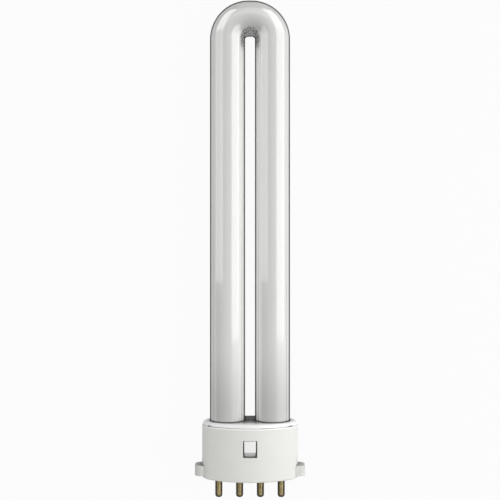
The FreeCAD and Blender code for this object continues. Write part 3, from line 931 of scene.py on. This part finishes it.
class LAMP_OT_tube_collar(bpy.types.Operator):
    """Builds the inner moulding: crowned top with tube holes, prising notches and snap tongues"""
    bl_idname = "lamp.tube_collar"
    bl_label = "Tube Collar"

    def execute(self, context):
        cap, tube = context.scene.lamp_cap, context.scene.lamp_tube
        colours = context.scene.lamp_colours
        oval = Oval(cap)
        skin = Skin()
        self.crown(skin, oval, cap, tube)
        for front in (-1, 1):
            skin.closed_grid(self.tongue(oval, cap, front))
        piece = skin.piece("tube_collar_moulding")
        finish = moulding("collar_moulding_white", colours.collar, colours, roughness=0.3, gloss=0.35,
                          grain_scale=5.0, reach=6.0 * MM, unshaded_share=0.85, highlight_from=17.7,
                          painted_grey_below=(cap.tongue_low + cap.tongue_lead) / MM)
        dress(piece, finish)
        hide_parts("tube_collar")
        return {"FINISHED"}

    @staticmethod
    def crown(skin, oval, cap, tube):
        """The collar's skin: spigot, step out to the rim, the rim's quarter-circle crown, the top
        plate and the two bores. A notch moves the rim's lowest rings in by its depth. gap and
        soft are the small distances between rings at the notches and at the groove's edges."""
        gap, soft = 0.02 * MM, 0.03 * MM
        step, rim, groove = cap.joint_step, cap.height, cap.groove
        extra = [side * oval.normal_at(cap.notch_x + end * edge, step)
                 for edge in (cap.notch_half, cap.notch_half + gap) for end in (-1, 1) for side in (-1, 1)]
        oval.divide(extra + [0.0])
        notched = np.abs(np.abs(oval.at(step)[0]) - cap.notch_x) < cap.notch_half + gap / 2
        arc = quarter((step, cap.crown_top - cap.crown_round), (step + cap.crown_round, cap.crown_top), 12)
        notch_top = rim + cap.notch_high
        at_notch, over_notch = ((np.interp(h, arc[:, 1], arc[:, 0]), h)
                                for h in (notch_top, notch_top + gap))
        spigot = [(cap.spigot_inset, h) for h in (cap.spigot_low, rim)]
        lower = [(step + groove + soft + gap, rim), (step + groove, rim + gap / 2),
                 (step + soft, rim + groove - soft), (step, rim + groove + gap),
                 *(p for p in arc if rim + groove + soft < p[1] < notch_top - gap), at_notch]
        upper = [over_notch, *(p for p in arc if p[1] > notch_top + 2 * gap)]
        insets = [i for i, h in spigot]
        insets += [np.where(notched, step + cap.notch_deep, i) for i, h in lower]
        insets += [i for i, h in upper]
        skin.grid(oval.rings(insets, [h for i, h in spigot + lower + upper]))

        edge = 0.15 * MM
        bore = [(cap.tube_bore, cap.spigot_low), (cap.tube_bore, rim), (cap.tube_hole, rim)]
        mouth = quarter((cap.tube_hole, cap.crown_top - edge), (cap.tube_hole + edge, cap.crown_top), 4)
        centres = [-tube.leg_x, tube.leg_x]
        for cell in (oval.plate(step + cap.crown_round, cap.crown_top, centres, [*bore, *mouth])
                     + oval.plate(cap.spigot_inset, cap.spigot_low, centres, bore[:1])):
            skin.grid(cell)

    @staticmethod
    def tongue(oval, cap, front):
        """A snap tongue's head: closed (height, inset) loops stacked along x, each point at the
        depth of the cap's face there.

        The face stands in by the tongue's inset, and below the break it slopes back to the lower
        edge: inset + fall times the share of the way from the break down. A loop near either end is
        drawn in by a quarter circle's 1 - cos, for the rounded edge."""
        edge = 0.25 * MM
        break_height = cap.tongue_low + cap.tongue_lead
        steepness = math.hypot(1.0, cap.tongue_fall / cap.tongue_lead)
        end = quarter((0.0, cap.tongue_half - edge), (edge, cap.tongue_half), 5)[1:]
        middle = [(x, 0.0) for x in spread(edge - cap.tongue_half, cap.tongue_half - edge, 0.35 * MM)]
        loops = []
        for x, shrink in [*((-x, d) for d, x in end[::-1]), *middle, *((x, d) for d, x in end)]:
            low, high, face = cap.tongue_low + shrink, cap.window_high - shrink, cap.tongue_inset + shrink
            upper = np.linspace(high - edge, break_height, 13)
            lower = np.linspace(break_height, low + edge, 7)[1:]
            slope = cap.tongue_fall * (break_height - lower) / cap.tongue_lead + shrink * (steepness - 1)
            top = quarter((high, face + edge), (high - edge, face), 4)[:-1]
            foot_face = face + slope[-1]
            foot = quarter((lower[-1], foot_face), (low, foot_face + edge), 4, hollow=True)[1:]
            back = 1.9 * MM - shrink
            height, inset = np.concatenate((top, join(upper, face), join(lower, face + slope), foot,
                                            [(low, back), (high, back)])).T
            loops.append(join(x, height, front * oval.front(x, inset)))
        return np.stack(loops)


class LAMP_OT_contact_pins(bpy.types.Operator):
    """Builds the four turned brass pins"""
    bl_idname = "lamp.contact_pins"
    bl_label = "Contact Pins"

    def execute(self, context):
        finish = pin_brass(context.scene.lamp_colours)
        profile = self.profile(context.scene.lamp_pin)
        for name, x in PIN_PLACES:
            skin = Skin()
            skin.closed_grid(turned(profile, x, full_turn(48)))
            piece = skin.piece(f"{name}_turned", 50.0)
            dress(piece, finish)
            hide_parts(name)
        return {"FINISHED"}

    @staticmethod
    def profile(pin):
        """(radius, height) pairs from the inner end out to the tip: seat, shank and a tip that is a
        quarter ellipse down to a small flat."""
        edge, before_tip, middle = 0.08 * MM, 0.1 * MM, 0.4 * MM
        shank_end = pin.tip - pin.reach
        tip = quarter((pin.radius, shank_end), (pin.tip_flat, -pin.reach), 10)
        shank = [(pin.radius, h) for h in spread(0.0, shank_end + before_tip, 0.8 * MM)]
        return np.concatenate(([(middle, pin.seat_top), (pin.seat_radius - edge, pin.seat_top),
                                (pin.seat_radius, pin.seat_top - edge), (pin.seat_radius, edge),
                                (pin.seat_radius - edge, 0.0)], shank, tip))


class LAMP_OT_inner_parts(bpy.types.Operator):
    """Gives the cement and the lead wires, which keep their CAD shapes, their materials"""
    bl_idname = "lamp.inner_parts"
    bl_label = "Cement and Lead Wires"

    def execute(self, context):
        colours = context.scene.lamp_colours
        cement, wire = basing_cement(colours), lead_metal(colours)
        for side in ("left", "right"):
            dress_node(f"basing_cement_{side}", cement)
        for number in (1, 2, 3, 4):
            dress_node(f"lead_wire_{number}", wire)
        return {"FINISHED"}


# Studio

def seen_directly(n):
    """1 for rays from the camera and for sharp reflections and clear glass, otherwise 0."""
    rays = n.add("ShaderNodeLightPath").socket.node.outputs
    camera, glossy = Wire(n, rays["Is Camera Ray"]), Wire(n, rays["Is Glossy Ray"])
    return n.maths("MINIMUM", camera + glossy + Wire(n, rays["Is Transmission Ray"]), 1.0)


def pose_towards(place, back, up):
    """A matrix at a place whose local z axis points along back and whose y axis is near up."""
    back = np.asarray(back, float) / np.linalg.norm(back)
    right = np.cross(up, back)
    right /= np.linalg.norm(right)
    matrix = np.eye(4)
    matrix[:3] = join(right, np.cross(back, right), back, place)
    return Matrix(matrix.tolist())


class LAMP_OT_studio(bpy.types.Operator):
    """Sets up the pale floor, the soft lights, the room and the camera"""
    bl_idname = "lamp.studio"
    bl_label = "Studio"

    def execute(self, context):
        studio = context.scene.lamp_studio
        self.floor(studio)
        self.room(context.scene, studio)
        self.lights(studio)
        self.camera(context.scene, studio)
        context.scene.view_settings.view_transform = "Standard"
        return {"FINISHED"}

    @staticmethod
    def floor(studio):
        """A wide level floor, flat at the height that the lamp rests on."""
        made, n = material("studio_floor_pale")
        paper = n.noise(n.add("ShaderNodeTexCoord", output="Object"), 40.0, 3.0)
        grey = n.tint((0.5, 0.5, 0.5), 0.985 + 0.03 * paper)
        matt = n.add("ShaderNodeBsdfDiffuse", None, {"Color": grey})
        white = n.add("ShaderNodeEmission", None, {"Color": (1, 1, 1, 1), "Strength": 1.0})
        n.finish(n.either(seen_directly(n) * studio.floor_lift, matt, white))
        half_size, points = 4.0, 9
        x, y = np.meshgrid(*[np.linspace(-half_size, half_size, points)] * 2)
        quads = quads_of(np.arange(points**2).reshape(points, points)).reshape(-1, 4)
        mesh = bpy.data.meshes.new("studio_floor")
        mesh.from_pydata(join(x, y, 0.0).reshape(-1, 3), [], quads.tolist())
        mesh.materials.append(made)
        linked("studio_floor", mesh)

    @staticmethod
    def room(scene, studio):
        """White round the horizon and darker overhead where it is seen, and even light elsewhere."""
        world = bpy.data.worlds.new("studio_room")
        world.use_nodes = True
        n = Nodes(world.node_tree)
        direction = n.add("ShaderNodeTexCoord", output="Generated")
        axes = n.add("ShaderNodeSeparateXYZ", None, {"Vector": direction}).socket.node.outputs
        seen = 1.0 - n.step(Wire(n, axes["Z"]), 0.10, 0.40) * (1.0 - studio.ceiling)
        light = seen_directly(n)
        strength = light * seen + (1.0 - light) * studio.ambient
        background = n.add("ShaderNodeBackground", None, {"Color": (1, 1, 1, 1), "Strength": strength})
        n.finish(background, "ShaderNodeOutputWorld")
        scene.world = world

    def lights(self, studio):
        """Two soft lights, and cards that the glass mirrors. Spans and widths are in metres."""
        lamp, foot, past_bend = (-0.105, 0.245), 0.015, (0.275, 0.75)
        right, left = 54.0, -56.0
        for light in (("key_light", studio.key_radiance, 60.0, lamp, 0.32),
                      ("fill_light", studio.fill_radiance, -32.0, lamp, 0.30)):
            self.soft_light(studio, *light, mirrored=False)
        for card in (("card_right", studio.key_card, right, (foot, past_bend[0]), 0.32),
                     ("card_left", studio.fill_card, left, (0.055, past_bend[0]), 0.30),
                     ("card_bend_right", studio.bend_card, right, past_bend, 0.32),
                     ("card_bend_left", studio.bend_card, left, past_bend, 0.30),
                     ("card_bend_top", studio.top_card, 0.0, past_bend, 0.28),
                     ("card_foot", studio.foot_card, right, (-0.06, foot), 0.30)):
            self.soft_light(studio, *card, mirrored=True)

    @staticmethod
    def soft_light(studio, name, radiance, azimuth, span, width, mirrored):
        """A rectangular area light parallel to the lamp. azimuth turns it from the camera's side
        towards the right, and span is where it starts and ends along the lamp. Its power is pi
        times area times radiance. A mirrored one is only seen in reflections. The others light the
        surfaces, and stand a little behind, so that no two lie in one plane."""
        turn = math.radians(azimuth)
        direction = np.array((math.sin(turn), 0.0, math.cos(turn)))
        low, high = span
        light = bpy.data.lights.new(name, "AREA")
        light.shape = "RECTANGLE"
        light.size, light.size_y = width, high - low
        light.energy = math.pi * width * (high - low) * radiance
        behind = 1.08
        distance = studio.light_distance * (1.0 if mirrored else behind)
        place = distance * direction + ((0.0, (low + high) / 2, 0.0))
        lamp = linked(name, light)
        lamp.visible_diffuse, lamp.visible_glossy = not mirrored, mirrored
        lamp.matrix_world = pose_towards(laid(place), laid(direction) - laid((0, 0, 0)), ALONG)

    @staticmethod
    def camera(scene, studio):
        """The photograph's view: straight in front of the lamp's middle plane."""
        lens = bpy.data.cameras.new("camera")
        lens.sensor_width = 36.0
        lens.lens = studio.camera_lens
        lens.clip_start = 0.01
        lens.clip_end = 20.0
        scene.camera = linked("camera", lens)
        place = laid((0.0, studio.camera_height, studio.camera_distance))
        scene.camera.matrix_world = pose_towards(place, OUT, ALONG)


STEPS = (LAMP_OT_glass_tube, LAMP_OT_cap_shell, LAMP_OT_tube_collar, LAMP_OT_contact_pins,
         LAMP_OT_inner_parts, LAMP_OT_studio)


class LAMP_PT_pieces(bpy.types.Panel):
    """Lists the lamp's pieces and its studio in the sidebar"""
    bl_label = "Compact Fluorescent Lamp"
    bl_idname = "LAMP_PT_pieces"
    bl_space_type = "VIEW_3D"
    bl_region_type = "UI"
    bl_category = "Lamp"

    def draw(self, context):
        column = self.layout.column(align=True)
        for step in STEPS:
            column.operator(step.bl_idname)
        for name, group in GROUPS.items():
            box = self.layout.box()
            box.label(text=group.__doc__)
            for prop in group.__annotations__:
                box.prop(getattr(context.scene, name), prop)


def register():
    for shown in (*GROUPS.values(), *STEPS, LAMP_PT_pieces):
        bpy.utils.register_class(shown)
    for name, group in GROUPS.items():
        setattr(bpy.types.Scene, name, PointerProperty(type=group))


def unregister():
    for name in GROUPS:
        delattr(bpy.types.Scene, name)
    for shown in (LAMP_PT_pieces, *reversed(STEPS), *reversed(GROUPS.values())):
        bpy.utils.unregister_class(shown)


def main():
    """Builds every piece and the studio."""
    register()
    bpy.ops.lamp.glass_tube()
    bpy.ops.lamp.cap_shell()
    bpy.ops.lamp.tube_collar()
    bpy.ops.lamp.contact_pins()
    bpy.ops.lamp.inner_parts()
    bpy.ops.lamp.studio()


if __name__ == "__main__":
    main()
